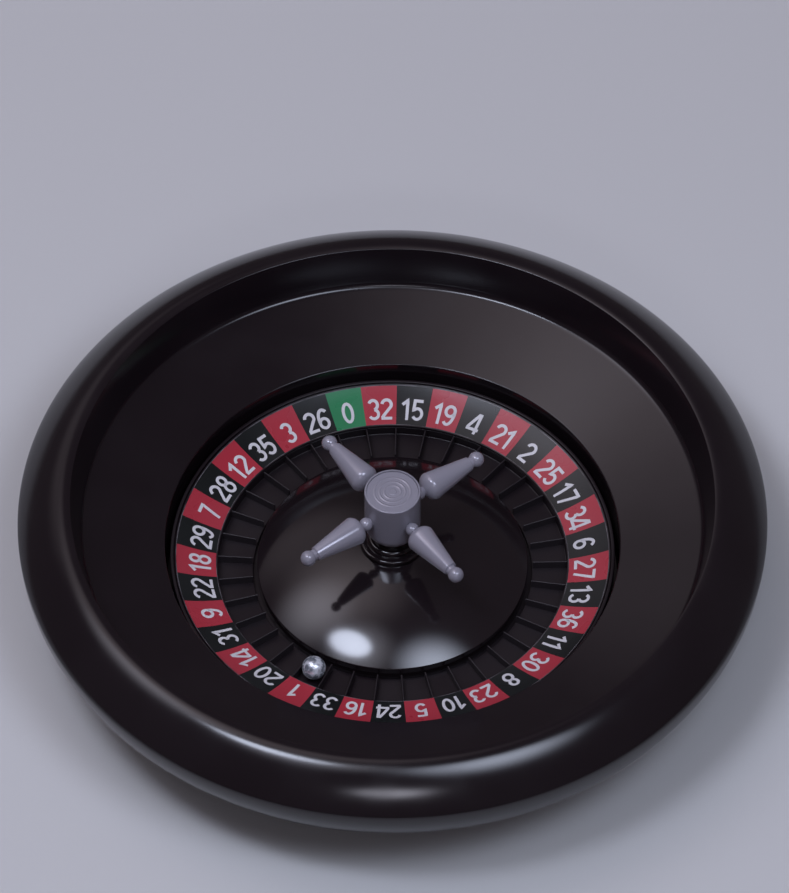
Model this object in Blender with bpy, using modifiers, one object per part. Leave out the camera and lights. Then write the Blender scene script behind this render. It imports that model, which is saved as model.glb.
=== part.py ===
"""A table-top toy roulette wheel, in metres, +Z up, with its origin on the table under the spindle.

The bowl stands on rubber feet. The rotor, with its numbered ring, pockets, dome and four-armed turret,
turns on a steel spindle in the bowl's floor, and the ball lies in one of the 37 pockets.
"""

import math

import bmesh
import bpy
from mathutils import Matrix, Vector
from mathutils.geometry import interpolate_bezier

# Radii and widths run outwards from the spindle's axis, and heights run up from the table.
fit_gap = 0.0003  # between pieces that seat on each other
tool_over = 0.002  # how far a cutting tool runs past its cut
boss_bite = 0.001  # how far a screw boss runs into the wall beside it
weld_distance = 0.00002

# Feet and base cover.
foot_radius = 0.007
foot_height = 0.0021
foot_chamfer = 0.0006
foot_peg_radius = 0.002
foot_inset = 0.0035
foot_count = 4
cover_thickness = 0.0016
base_screw_count = 6
base_screw_radius = 0.0013
base_screw_head_radius = 0.0027
base_screw_head_height = 0.0013
base_screw_length = 0.009
bowl_boss_radius = 0.0034
bowl_boss_height = 0.012

# Bowl.
bowl_wall = 0.002
floor_boss_radius = 0.008
floor_boss_height = 0.0012
rotor_gap = 0.0017
rotor_float = 0.0004  # between the bowl's floor and the screw heads under the pan
apron_lift = 0.0062
apron_width = 0.0276
apron_rise = 0.0085
track_lean = 0.0037
track_height = 0.0145
crest_width = 0.0022
crest_rise = 0.0004
flare_width = 0.0155
flare_drop = 0.0122
crest_handle_share = 0.35
belly_handle_share = 0.12
belly_radius = 0.0225
belly_turn = math.radians(38.7)
edge_height = 0.0015

# Spindle and bearing.
spindle_radius = 0.003
spindle_flange_radius = 0.007
spindle_flange_height = 0.001
spindle_bore_over = 0.002  # past the tip of the screw in it
thrust_washer_radius = 0.0072
thrust_washer_height = 0.0006
bush_wall = 0.0017
bush_flange_radius = 0.0072
bush_flange_height = 0.0008
retaining_washer_radius = 0.0068
retaining_washer_height = 0.0006
spindle_screw_radius = 0.0013
spindle_screw_head_radius = 0.0029
spindle_screw_head_height = 0.0016
spindle_screw_length = 0.008

# Rotor pan.
sleeve_wall = 0.0022
pan_thickness = 0.0015
pan_hat_radius = 0.012
lip_width = 0.0012
lip_rise = 0.0005

# Pockets and numbered band.
pocket_count = 37
pocket_length = 0.0119
pocket_floor_thickness = 0.001
pocket_wall = 0.0008
fret_height = 0.0032
fret_thickness = 0.0005
first_fret_turn = math.radians(108.3)
band_width = 0.0143
band_rise = 0.0047
band_thickness = 0.0008

# Dome.
dome_groove = 0.0014
dome_radius = 0.0452
dome_wall = 0.0018
dome_sphere_radius = 0.0895
dome_edge_height = 0.0041
dome_boss_radius = 0.0028
dome_screw_count = 3
dome_screw_radius = 0.0012
dome_screw_head_radius = 0.0024
dome_screw_head_height = 0.0009
dome_screw_length = 0.0055

# Turret.
collar_height = 0.0041
collar_flange_radius = 0.011
collar_flange_rise = 0.0009
collar_step_radius = 0.0086
collar_step_rise = 0.0027
collar_neck_radius = 0.0066
collar_round = 0.0005
hub_height = 0.0214
hub_radius = 0.0094
hub_base_radius = 0.0054
hub_swell_height = 0.0055
hub_swell_handle_share = 0.5
hub_edge = 0.0004
hub_rim = 0.0007
hub_recess_depth = 0.0019
head_pocket_play = 0.0006  # round the screw's head
head_pocket_depth = 0.0045
cap_thickness = 0.0012
cap_ridge_height = 0.0003
cap_ridge_width = 0.0006
cap_ridge_shares = (0.7, 0.38)
cap_button_radius = 0.0014
turret_screw_radius = 0.0017
turret_screw_head_radius = 0.0036
turret_screw_head_height = 0.002
turret_nut_radius = 0.004
turret_nut_height = 0.003
turret_screw_tail = 0.0005
turret_headroom = 0.0016  # between the turret's screw and the spindle's

# Spokes.
spoke_count = 4
spokes_turn = math.radians(36.8)
spoke_rise = 0.012
spoke_stub_radius = 0.0016
spoke_stub_length = 0.0042
bead_radius = 0.0023
bead_stand = 0.0016  # from the hub's side to the bead's middle
cone_neck_length = 0.0002
cone_dome_length = 0.0034
cone_big_radius = 0.00495
cone_length = 0.0158
cone_small_radius = 0.00245
tip_step = 0.0003
tip_neck_radius = 0.0019
tip_neck_length = 0.00095
tip_radius = 0.00265

# Ball.
ball_radius = 0.004
ball_inset = 0.0052
ball_play = 0.0001  # between the ball and the frets' edges
ball_pocket = 23

# How finely the round pieces are cut.
bowl_sides = 48
rotor_sides = 40
ring_sides = 2 * pocket_count
turret_sides = 24
small_sides = 16
screw_sides = 10
spoke_sides = 12
ball_sides = 16
ball_rings = 10

# Finishes: colour, roughness, metallic.
black_gloss = ((0.012, 0.010, 0.012), 0.12, 0.0)
black_plain = ((0.020, 0.019, 0.021), 0.45, 0.0)
silver_plastic = ((0.30, 0.28, 0.31), 0.32, 0.35)
ring_print = ((0.16, 0.03, 0.035), 0.30, 0.0)
steel = ((0.60, 0.60, 0.62), 0.22, 1.0)
polished_steel = ((0.78, 0.78, 0.80), 0.06, 1.0)
brass = ((0.70, 0.50, 0.22), 0.30, 1.0)
nylon = ((0.80, 0.79, 0.74), 0.50, 0.0)
rubber = ((0.03, 0.03, 0.03), 0.80, 0.0)

# Levels, from the table up.
cover_bottom = foot_height + fit_gap
cover_top = cover_bottom + cover_thickness
flange_bottom = cover_top + fit_gap
flange_top = flange_bottom + spindle_flange_height
floor_bottom = flange_top + fit_gap
floor_top = floor_bottom + bowl_wall
boss_top = floor_top + floor_boss_height
thrust_bottom = boss_top + fit_gap
thrust_top = thrust_bottom + thrust_washer_height
bush_bottom = thrust_top + fit_gap
bush_flange_top = bush_bottom + bush_flange_height
hat_bottom = bush_flange_top + fit_gap
hat_top = hat_bottom + pan_thickness
pan_bottom = floor_top + rotor_float + dome_screw_head_height + fit_gap
pan_top = pan_bottom + pan_thickness
pocket_bottom = pan_top + fit_gap
pocket_top = pocket_bottom + pocket_floor_thickness
fret_top = pocket_top + fret_height
band_inner_top = fret_top + fit_gap + band_thickness
band_outer_top = band_inner_top + band_rise
dome_edge_top = pocket_top + dome_edge_height
apron_inner = band_outer_top + apron_lift
apron_outer = apron_inner + apron_rise
rim_inner = apron_outer + track_height
crest = rim_inner + crest_rise
belly = crest - flare_drop

# Radii, from the axis out.
spindle_hole = spindle_radius + fit_gap
bush_radius = spindle_hole + bush_wall
sleeve_bore = bush_radius + fit_gap
sleeve_radius = sleeve_bore + sleeve_wall
pocket_inner = dome_radius + dome_groove
pocket_outer = pocket_inner + pocket_length
pocket_ring_outer = pocket_outer + pocket_wall
pan_wall_inner = pocket_ring_outer + fit_gap
pan_wall_outer = pan_wall_inner + pan_thickness
band_outer = pocket_outer + band_width
lip_inner = band_outer + fit_gap
lip_outer = lip_inner + lip_width
well_radius = lip_outer + rotor_gap
track_bottom_radius = well_radius + apron_width
rim_inner_radius = track_bottom_radius + track_lean
crest_radius = rim_inner_radius + crest_width
belly_reach = crest_radius + flare_width
belly_centre = belly_reach - belly_radius
belly_end_radius = belly_centre + belly_radius * math.cos(belly_turn)
belly_end = belly - belly_radius * math.sin(belly_turn)
edge_radius = belly_end_radius - (belly_end - edge_height) * math.tan(belly_turn)
cover_radius = (
    edge_radius
    + (cover_bottom - edge_height) * math.tan(belly_turn)
    - bowl_wall / math.cos(belly_turn)
    - fit_gap
)

# The dome's crown and what stands on it.
dome_drop = dome_sphere_radius - math.sqrt(dome_sphere_radius**2 - dome_radius**2)
dome_apex = dome_edge_top + dome_drop
turret_hole = turret_screw_radius + fit_gap
collar_base = dome_apex + fit_gap
collar_top = collar_base + collar_height
hub_bottom = collar_top + fit_gap
hub_top = hub_bottom + hub_height
hub_recess_radius = hub_radius - hub_rim
recess_floor = hub_top - hub_recess_depth
head_pocket_radius = turret_screw_head_radius + head_pocket_play
head_pocket_floor = recess_floor - head_pocket_depth
spoke_height = hub_bottom + spoke_rise
nut_top = dome_apex - dome_wall - fit_gap
nut_bottom = nut_top - turret_nut_height

# The bearing reaches up to the room under the turret's screw.
retainer_top = nut_bottom - turret_screw_tail - turret_headroom - spindle_screw_head_height - fit_gap
retainer_bottom = retainer_top - retaining_washer_height
spindle_top = retainer_bottom - fit_gap
sleeve_top = spindle_top - fit_gap
spindle_screw_low = retainer_top + fit_gap - spindle_screw_length
spindle_bore_floor = spindle_screw_low - spindle_bore_over

# Along a spoke, from the hub's axis out.
stub_end = hub_radius - spoke_stub_length + fit_gap
bead_low = hub_radius + fit_gap
bead_reach = hub_radius + bead_stand
bead_end_turn = math.asin(spoke_stub_radius / bead_radius)
bead_start_turn = math.acos((bead_reach - bead_low) / bead_radius)
cone_dome_turn = math.asin(spoke_stub_radius / cone_big_radius)
cone_low = bead_reach + bead_radius * math.cos(bead_end_turn) + cone_neck_length
cone_start = cone_low + cone_dome_length * math.cos(cone_dome_turn)
cone_end = cone_start + cone_length
tip_turn = math.asin(tip_neck_radius / tip_radius)
tip_reach = cone_end + tip_step + tip_neck_length + tip_radius * math.cos(tip_turn)

# Where the screws, feet and pockets lie.
base_screw_ring = well_radius + bowl_wall + bowl_boss_radius - boss_bite
dome_screw_ring = dome_radius - dome_wall - dome_boss_radius + boss_bite
foot_ring = cover_radius - foot_inset - foot_radius
pocket_pitch = math.tau / pocket_count


def new_collection(name):
    collection = bpy.data.collections.new(name)
    bpy.context.scene.collection.children.link(collection)
    return collection


def new_empty(name, parent=None):
    empty = bpy.data.objects.new(name, None)
    empty.parent = parent
    wheel.objects.link(empty)
    return empty


def new_material(name, finish):
    colour, roughness, metallic = finish
    material = bpy.data.materials.new(name)
    material.use_nodes = True
    shader = material.node_tree.nodes["Principled BSDF"]
    shader.inputs["Base Color"].default_value = (*colour, 1.0)
    shader.inputs["Roughness"].default_value = roughness
    shader.inputs["Metallic"].default_value = metallic
    material.diffuse_color = (*colour, 1.0)
    return material


def add_piece(name, mesh, finish, parent):
    piece = bpy.data.objects.new(name, mesh)
    mesh.name = name
    mesh.materials.append(new_material(name, finish))
    piece.parent = parent
    wheel.objects.link(piece)
    return piece


def add_tool(name, mesh):
    tool = bpy.data.objects.new(name, mesh)
    tool.hide_render = True
    tool.display_type = "WIRE"
    tools.objects.link(tool)
    return tool


def ring_spots(count, radius, turn=0.0):
    """Points evenly round the axis, with the turn of each."""
    turns = [turn + k * math.tau / count for k in range(count)]
    return [(radius * math.cos(a), radius * math.sin(a), a) for a in turns]


def arc(centre, radii, start, end, count):
    """Points along part of an ellipse, by angle from its first axis."""
    angles = [start + (end - start) * k / count for k in range(count + 1)]
    return [(centre[0] + radii[0] * math.cos(a), centre[1] + radii[1] * math.sin(a)) for a in angles]


def bend(start, start_handle, end_handle, end, count):
    """Points along a Bezier bend."""
    corners = [Vector((*point, 0)) for point in (start, start_handle, end_handle, end)]
    return [(point.x, point.y) for point in interpolate_bezier(*corners, count + 1)]


def section(points, closed):
    """A profile in the XZ plane: radius along X, height along Z."""
    edges = [(k, k + 1) for k in range(len(points) - 1)]
    if closed:
        edges.append((len(points) - 1, 0))
    mesh = bpy.data.meshes.new("section")
    mesh.from_pydata([(radius, 0, height) for radius, height in points], edges, [])
    return mesh


def turned(name, points, sides, finish, parent, closed=True, wall=None):
    """A profile turned round its own Z axis. An open profile gets a wall, or ends on the axis."""
    piece = add_piece(name, section(points, closed), finish, parent)
    screw = piece.modifiers.new("turn", "SCREW")
    screw.steps = screw.render_steps = sides
    screw.use_merge_vertices = True
    screw.merge_threshold = weld_distance
    if wall:
        solid = piece.modifiers.new("wall", "SOLIDIFY")
        solid.thickness = wall
        solid.offset = -1
        solid.use_even_offset = True
    return piece


def cylinders(name, spots, radius, low, high, sides):
    """One tool that holds an upright cylinder at each spot."""
    shape = bmesh.new()
    for x, y, _ in spots:
        place = Matrix.Translation((x, y, (low + high) / 2))
        bmesh.ops.create_cone(
            shape,
            cap_ends=True,
            segments=sides,
            radius1=radius,
            radius2=radius,
            depth=high - low,
            matrix=place,
        )
    mesh = bpy.data.meshes.new(name)
    shape.to_mesh(mesh)
    shape.free()
    return add_tool(name, mesh)


def join_tool(piece, tool, operation):
    boolean = piece.modifiers.new(tool.name, "BOOLEAN")
    boolean.operation = operation
    boolean.object = tool


def tube(name, inner, outer, low, high, sides, finish, parent):
    points = [(inner, high), (outer, high), (outer, low), (inner, low)]
    return turned(name, points, sides, finish, parent)


def screw_from_below(name, spot, radius, head_radius, head_height, length, seat, finish, parent):
    """A pan-head screw driven upwards: its head hangs under the seat."""
    head_top = seat - fit_gap
    top = head_top + length
    bottom = head_top - head_height
    points = [(0, top), (radius, top), (radius, head_top), (head_radius, head_top)]
    points += [(head_radius, bottom), (0, bottom)]
    piece = turned(name, points, screw_sides, finish, parent, closed=False)
    piece.location = (spot[0], spot[1], 0)
    return piece


def screw_from_above(name, radius, head_radius, head_height, low, seat, finish, parent):
    """A pan-head screw on the axis, driven downwards: its head stands on the seat."""
    head_bottom = seat + fit_gap
    top = head_bottom + head_height
    points = [(0, top), (head_radius, top), (head_radius, head_bottom), (radius, head_bottom)]
    points += [(radius, low), (0, low)]
    return turned(name, points, screw_sides, finish, parent, closed=False)


def dome_surface(radius):
    """Height of the dome's crown at this radius."""
    return dome_apex - dome_sphere_radius + math.sqrt(dome_sphere_radius**2 - radius**2)


def band_surface(radius):
    """Height of the numbered band at this radius."""
    return band_inner_top + (radius - pocket_outer) * band_rise / band_width


def make_bowl_shell(parent):
    flare_handle = (crest_radius + flare_width * crest_handle_share, crest)
    belly_handle = (belly_reach, belly + flare_drop * belly_handle_share)
    points = [(0, floor_top), (well_radius, floor_top), (well_radius, apron_inner)]
    points += [(track_bottom_radius, apron_outer)]
    points += arc((crest_radius, rim_inner), (crest_width, crest_rise), math.pi, math.pi / 2, 2)
    points += bend((crest_radius, crest), flare_handle, belly_handle, (belly_reach, belly), 6)[1:]
    points += arc((belly_centre, belly), (belly_radius, belly_radius), 0, -belly_turn, 3)[1:]
    points += [(edge_radius, edge_height)]
    shell = turned("bowl_shell", points, bowl_sides, black_gloss, parent, closed=False, wall=bowl_wall)

    screws = ring_spots(base_screw_count, base_screw_ring)
    boss_low = cover_top + fit_gap
    boss_high = boss_low + bowl_boss_height
    hole_low, hole_high = boss_low - tool_over, boss_low + base_screw_length
    bore_low, bore_high = floor_bottom - tool_over, boss_top + tool_over
    middle_low = floor_top - bowl_wall / 2
    hole_radius = base_screw_radius + fit_gap
    axis = [(0, 0, 0)]
    bosses = cylinders("bowl_bosses", screws, bowl_boss_radius, boss_low, boss_high, small_sides)
    middle = cylinders("floor_boss", axis, floor_boss_radius, middle_low, boss_top, small_sides)
    holes = cylinders("bowl_boss_holes", screws, hole_radius, hole_low, hole_high, screw_sides)
    bore = cylinders("spindle_hole", axis, spindle_hole, bore_low, bore_high, small_sides)
    join_tool(shell, bosses, "UNION")
    join_tool(shell, middle, "UNION")
    join_tool(shell, holes, "DIFFERENCE")
    join_tool(shell, bore, "DIFFERENCE")


def make_base(parent):
    points = [(0, cover_top), (cover_radius, cover_top), (cover_radius, cover_bottom), (0, cover_bottom)]
    cover = turned("base_cover", points, bowl_sides, black_plain, parent, closed=False)
    screws = ring_spots(base_screw_count, base_screw_ring)
    feet = ring_spots(foot_count, foot_ring, math.pi / foot_count)
    low, high = cover_bottom - tool_over, cover_top + tool_over
    screw_holes = cylinders("cover_screw_holes", screws, base_screw_radius + fit_gap, low, high, screw_sides)
    foot_holes = cylinders("cover_foot_holes", feet, foot_peg_radius + fit_gap, low, high, screw_sides)
    join_tool(cover, screw_holes, "DIFFERENCE")
    join_tool(cover, foot_holes, "DIFFERENCE")

    for number, spot in enumerate(screws, 1):
        screw_from_below(
            f"base_screw_{number}",
            spot,
            base_screw_radius,
            base_screw_head_radius,
            base_screw_head_height,
            base_screw_length,
            cover_bottom,
            steel,
            parent,
        )
    for number, (x, y, _) in enumerate(feet, 1):
        points = [(0, cover_top), (foot_peg_radius, cover_top), (foot_peg_radius, foot_height)]
        points += [(foot_radius, foot_height), (foot_radius, foot_chamfer)]
        points += [(foot_radius - foot_chamfer, 0), (0, 0)]
        foot = turned(f"foot_{number}", points, small_sides, rubber, parent, closed=False)
        foot.location = (x, y, 0)


def make_bearing(bowl, rotor):
    screw_bore = spindle_screw_radius + fit_gap
    points = [(0, spindle_bore_floor), (screw_bore, spindle_bore_floor), (screw_bore, spindle_top)]
    points += [(spindle_radius, spindle_top), (spindle_radius, flange_top)]
    points += [(spindle_flange_radius, flange_top), (spindle_flange_radius, flange_bottom)]
    points += [(0, flange_bottom)]
    turned("spindle", points, small_sides, steel, bowl, closed=False)
    tube(
        "thrust_washer",
        spindle_hole,
        thrust_washer_radius,
        thrust_bottom,
        thrust_top,
        small_sides,
        nylon,
        bowl,
    )
    tube(
        "retaining_washer",
        screw_bore,
        retaining_washer_radius,
        retainer_bottom,
        retainer_top,
        small_sides,
        steel,
        bowl,
    )
    screw_from_above(
        "spindle_screw",
        spindle_screw_radius,
        spindle_screw_head_radius,
        spindle_screw_head_height,
        spindle_screw_low,
        retainer_top,
        steel,
        bowl,
    )
    points = [(spindle_hole, sleeve_top), (bush_radius, sleeve_top), (bush_radius, bush_flange_top)]
    points += [(bush_flange_radius, bush_flange_top), (bush_flange_radius, bush_bottom)]
    points += [(spindle_hole, bush_bottom)]
    turned("bearing_bush", points, small_sides, brass, rotor)


def make_rotor_pan(parent):
    shelf_inner = band_surface(pan_wall_inner) - band_thickness - fit_gap
    shelf_outer = band_surface(lip_inner) - band_thickness - fit_gap
    lip_top = band_outer_top + lip_rise
    points = [(sleeve_bore, sleeve_top), (sleeve_radius, sleeve_top), (sleeve_radius, hat_top)]
    points += [(pan_hat_radius, hat_top), (pan_hat_radius, pan_top), (pan_wall_inner, pan_top)]
    points += [(pan_wall_inner, shelf_inner), (lip_inner, shelf_outer)]
    points += [(lip_inner, lip_top), (lip_outer, lip_top)]
    points += [(lip_outer, shelf_outer - pan_thickness), (pan_wall_outer, shelf_inner - pan_thickness)]
    points += [(pan_wall_outer, pan_bottom), (pan_hat_radius - pan_thickness, pan_bottom)]
    points += [(pan_hat_radius - pan_thickness, hat_bottom), (sleeve_bore, hat_bottom)]
    pan = turned("rotor_pan", points, rotor_sides, black_gloss, parent)
    screws = ring_spots(dome_screw_count, dome_screw_ring)
    holes = cylinders(
        "pan_screw_holes",
        screws,
        dome_screw_radius + fit_gap,
        pan_bottom - tool_over,
        pan_top + tool_over,
        screw_sides,
    )
    join_tool(pan, holes, "DIFFERENCE")


def make_pocket_ring(parent):
    points = [(pocket_outer, fret_top), (pocket_ring_outer, fret_top)]
    points += [(pocket_ring_outer, pocket_bottom), (pocket_inner, pocket_bottom)]
    points += [(pocket_inner, pocket_top), (pocket_outer, pocket_top)]
    ring = turned("pocket_ring", points, ring_sides, black_gloss, parent)
    ring.rotation_euler.z = first_fret_turn

    inner, outer = pocket_inner + fit_gap, pocket_outer + pocket_wall / 2
    low = pocket_top - pocket_floor_thickness / 2
    shape = bmesh.new()
    size = Matrix.Diagonal((outer - inner, fret_thickness, fret_top - low, 1))
    for x, y, turn in ring_spots(pocket_count, (inner + outer) / 2, first_fret_turn):
        place = Matrix.Translation((x, y, (fret_top + low) / 2)) @ Matrix.Rotation(turn, 4, "Z")
        bmesh.ops.create_cube(shape, size=1, matrix=place @ size)
    mesh = bpy.data.meshes.new("frets")
    shape.to_mesh(mesh)
    shape.free()
    join_tool(ring, add_tool("frets", mesh), "UNION")


def make_number_ring(parent):
    outer_bottom = band_outer_top - band_thickness
    inner_bottom = band_inner_top - band_thickness
    points = [(pocket_outer, band_inner_top), (band_outer, band_outer_top)]
    points += [(band_outer, outer_bottom), (pocket_outer, inner_bottom)]
    ring = turned("number_ring", points, ring_sides, ring_print, parent)
    ring.rotation_euler.z = first_fret_turn


def make_dome(parent):
    crown_turn = math.asin(dome_radius / dome_sphere_radius)
    hole_turn = math.asin(turret_hole / dome_sphere_radius)
    crown_centre = (0, dome_apex - dome_sphere_radius)
    crown = (dome_sphere_radius, dome_sphere_radius)
    points = arc(crown_centre, crown, math.pi / 2 - hole_turn, math.pi / 2 - crown_turn, 7)
    seat = pan_top + fit_gap
    points += [(dome_radius, seat)]
    dome = turned("centre_dome", points, rotor_sides, black_gloss, parent, closed=False, wall=dome_wall)

    screws = ring_spots(dome_screw_count, dome_screw_ring)
    bosses = cylinders("dome_bosses", screws, dome_boss_radius, seat, dome_edge_top, small_sides)
    holes = cylinders(
        "dome_boss_holes",
        screws,
        dome_screw_radius + fit_gap,
        seat - tool_over,
        pan_bottom + dome_screw_length,
        screw_sides,
    )
    join_tool(dome, bosses, "UNION")
    join_tool(dome, holes, "DIFFERENCE")
    for number, spot in enumerate(screws, 1):
        screw_from_below(
            f"dome_screw_{number}",
            spot,
            dome_screw_radius,
            dome_screw_head_radius,
            dome_screw_head_height,
            dome_screw_length,
            pan_bottom,
            steel,
            parent,
        )


def make_collar(parent):
    flange_top_level = collar_base + collar_flange_rise
    step_top_level = collar_base + collar_step_rise
    round_radii = (collar_round, collar_round)
    flange_foot = dome_surface(collar_flange_radius) + fit_gap
    step_centre = (collar_step_radius - collar_round, step_top_level - collar_round)
    flange_centre = (collar_flange_radius - collar_round, flange_top_level - collar_round)
    points = [(turret_hole, collar_top), (collar_neck_radius, collar_top)]
    points += [(collar_neck_radius, step_top_level)]
    points += arc(step_centre, round_radii, math.pi / 2, 0, 2)
    points += [(collar_step_radius, flange_top_level)]
    points += arc(flange_centre, round_radii, math.pi / 2, 0, 2)
    points += [(collar_flange_radius, flange_foot)]
    points += [(collar_neck_radius, dome_surface(collar_neck_radius) + fit_gap), (turret_hole, collar_base)]
    turned("turret_collar", points, turret_sides, black_gloss, parent)


def make_hub(parent):
    swell_top = hub_bottom + hub_swell_height
    swell_handle = (hub_radius, swell_top - hub_swell_height * hub_swell_handle_share)
    base_handle = (hub_base_radius + (hub_radius - hub_base_radius) * hub_swell_handle_share, hub_bottom)
    points = [(hub_recess_radius, hub_top), (hub_radius - hub_edge, hub_top)]
    points += [(hub_radius, hub_top - hub_edge)]
    points += bend((hub_radius, swell_top), swell_handle, base_handle, (hub_base_radius, hub_bottom), 5)
    points += [(turret_hole, hub_bottom), (turret_hole, head_pocket_floor)]
    points += [(head_pocket_radius, head_pocket_floor), (head_pocket_radius, recess_floor)]
    points += [(hub_recess_radius, recess_floor)]
    hub = turned("turret_hub", points, turret_sides, silver_plastic, parent)

    # The spokes' stubs sit in four blind bores.
    bore_end = hub_radius - spoke_stub_length
    depth = spoke_stub_length + tool_over
    shape = bmesh.new()
    bore = spoke_stub_radius + fit_gap
    for x, y, turn in ring_spots(spoke_count, bore_end + depth / 2, spokes_turn):
        place = Matrix.Translation((x, y, spoke_height)) @ Matrix.Rotation(turn, 4, "Z")
        place = place @ Matrix.Rotation(math.pi / 2, 4, "Y")
        bmesh.ops.create_cone(
            shape,
            cap_ends=True,
            segments=spoke_sides,
            radius1=bore,
            radius2=bore,
            depth=depth,
            matrix=place,
        )
    mesh = bpy.data.meshes.new("spoke_bores")
    shape.to_mesh(mesh)
    shape.free()
    join_tool(hub, add_tool("spoke_bores", mesh), "DIFFERENCE")


def make_cap(parent):
    bottom = recess_floor + fit_gap
    top = bottom + cap_thickness
    radius = hub_recess_radius - fit_gap
    raised = top + cap_ridge_height
    points = [(0, raised), (cap_button_radius, raised), (cap_button_radius + cap_ridge_height, top)]
    for share in reversed(cap_ridge_shares):
        middle, half = radius * share, cap_ridge_width / 2
        points += [(middle - half, top), (middle, raised), (middle + half, top)]
    points += [(radius, top), (radius, bottom), (0, bottom)]
    turned("hub_cap", points, turret_sides, silver_plastic, parent, closed=False)


def make_spokes(parent):
    """Each spoke lies along its own Z: a stub in the hub, a bead, a cone with a domed end, and a ball tip."""
    quarter = math.pi / 2
    points = [(0, tip_reach + tip_radius)]
    points += arc((0, tip_reach), (tip_radius, tip_radius), quarter, tip_turn - quarter, 5)[1:]
    points += [(tip_neck_radius, cone_end + tip_step), (cone_small_radius, cone_end)]
    points += arc((0, cone_start), (cone_big_radius, cone_dome_length), 0, cone_dome_turn - quarter, 3)
    bead_radii = (bead_radius, bead_radius)
    points += arc((0, bead_reach), bead_radii, quarter - bead_end_turn, bead_start_turn - quarter, 3)
    points += [(spoke_stub_radius, bead_low), (spoke_stub_radius, stub_end), (0, stub_end)]
    for number, (_, _, turn) in enumerate(ring_spots(spoke_count, 0, spokes_turn), 1):
        spoke = turned(f"spoke_{number}", points, spoke_sides, silver_plastic, parent, closed=False)
        spoke.location = (0, 0, spoke_height)
        spoke.rotation_euler = (0, math.pi / 2, turn)


def make_turret_fastener(parent):
    screw_from_above(
        "turret_screw",
        turret_screw_radius,
        turret_screw_head_radius,
        turret_screw_head_height,
        nut_bottom - turret_screw_tail,
        head_pocket_floor,
        steel,
        parent,
    )
    tube("turret_nut", turret_hole, turret_nut_radius, nut_bottom, nut_top, 6, steel, parent)


def make_ball(parent):
    turn = first_fret_turn - (ball_pocket + 0.5) * pocket_pitch
    reach = pocket_inner + ball_inset
    # It lies on the pocket's floor, or on the edges of two frets where it is too wide for that.
    half_width = reach * math.sin(pocket_pitch / 2) - fret_thickness / 2
    over_edges = math.sqrt(max((ball_radius + ball_play) ** 2 - half_width**2, 0))
    height = max(pocket_top + fit_gap + ball_radius, fret_top + over_edges)
    shape = bmesh.new()
    bmesh.ops.create_uvsphere(shape, u_segments=ball_sides, v_segments=ball_rings, radius=ball_radius)
    mesh = bpy.data.meshes.new("ball")
    shape.to_mesh(mesh)
    shape.free()
    mesh.shade_smooth()
    ball = add_piece("ball", mesh, polished_steel, parent)
    ball.location = (reach * math.cos(turn), reach * math.sin(turn), height)


for old in list(bpy.data.objects):
    bpy.data.objects.remove(old)
wheel = new_collection("roulette_wheel")
tools = new_collection("cutters")
bowl_frame = new_empty("bowl_frame")
rotor_axis = new_empty("rotor_axis", bowl_frame)

make_bowl_shell(bowl_frame)
make_base(bowl_frame)
make_bearing(bowl_frame, rotor_axis)
make_rotor_pan(rotor_axis)
make_pocket_ring(rotor_axis)
make_number_ring(rotor_axis)
make_dome(rotor_axis)
make_collar(rotor_axis)
make_hub(rotor_axis)
make_cap(rotor_axis)
make_spokes(rotor_axis)
make_turret_fastener(rotor_axis)
make_ball(rotor_axis)
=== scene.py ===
import math
from types import SimpleNamespace

import bmesh
import bpy
from mathutils import Matrix, Vector
from mathutils.geometry import interpolate_bezier


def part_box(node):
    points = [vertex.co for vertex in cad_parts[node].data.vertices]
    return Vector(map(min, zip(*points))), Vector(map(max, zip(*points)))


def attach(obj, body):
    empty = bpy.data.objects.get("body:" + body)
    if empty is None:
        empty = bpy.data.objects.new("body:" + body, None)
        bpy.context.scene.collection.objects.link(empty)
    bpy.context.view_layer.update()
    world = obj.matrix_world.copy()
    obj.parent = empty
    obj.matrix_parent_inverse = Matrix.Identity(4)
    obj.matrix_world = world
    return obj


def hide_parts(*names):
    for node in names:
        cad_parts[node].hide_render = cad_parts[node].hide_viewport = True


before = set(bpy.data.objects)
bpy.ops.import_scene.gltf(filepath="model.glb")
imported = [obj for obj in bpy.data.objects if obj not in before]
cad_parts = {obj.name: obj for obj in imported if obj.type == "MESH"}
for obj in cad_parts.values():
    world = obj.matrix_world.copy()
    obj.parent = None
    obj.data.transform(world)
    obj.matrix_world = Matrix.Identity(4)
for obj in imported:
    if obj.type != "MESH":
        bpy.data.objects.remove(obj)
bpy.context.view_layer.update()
scene = bpy.context.scene
scene.view_settings.view_transform = "Standard"
mm = 0.001
quarter = math.pi / 2
print("frame loaded,", len(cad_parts), "nodes")


def measure(node):
    # a node's levels and its reach from the spindle's axis, as the frame has them
    spots = [v.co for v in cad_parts[node].data.vertices]
    radii = [math.hypot(p.x, p.y) for p in spots]
    heights = [p.z for p in spots]
    return SimpleNamespace(low=min(heights), high=max(heights), inner=min(radii), outer=max(radii))


def middleOf(node):
    low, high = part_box(node)
    return (low + high) / 2


def numbered(stem, count):
    return [f"{stem}_{k}" for k in range(1, count + 1)]


def addObject(name, data):
    item = bpy.data.objects.new(name, data)
    scene.collection.objects.link(item)
    return item


# Camera: the photograph's view, which is nearly without perspective.
view = {
    "elevation": math.radians(51.4),
    "lens": 700,
    "sensor": 36,
    "frame": (789, 893),
    "pixel": 0.3341 * mm,  # how much of the wheel one pixel spans
    "wheelPixel": (392.5, 553.5),  # where the spindle's axis crosses the number ring's level
    "clipShares": (0.01, 10),  # of the camera's distance
}


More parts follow.
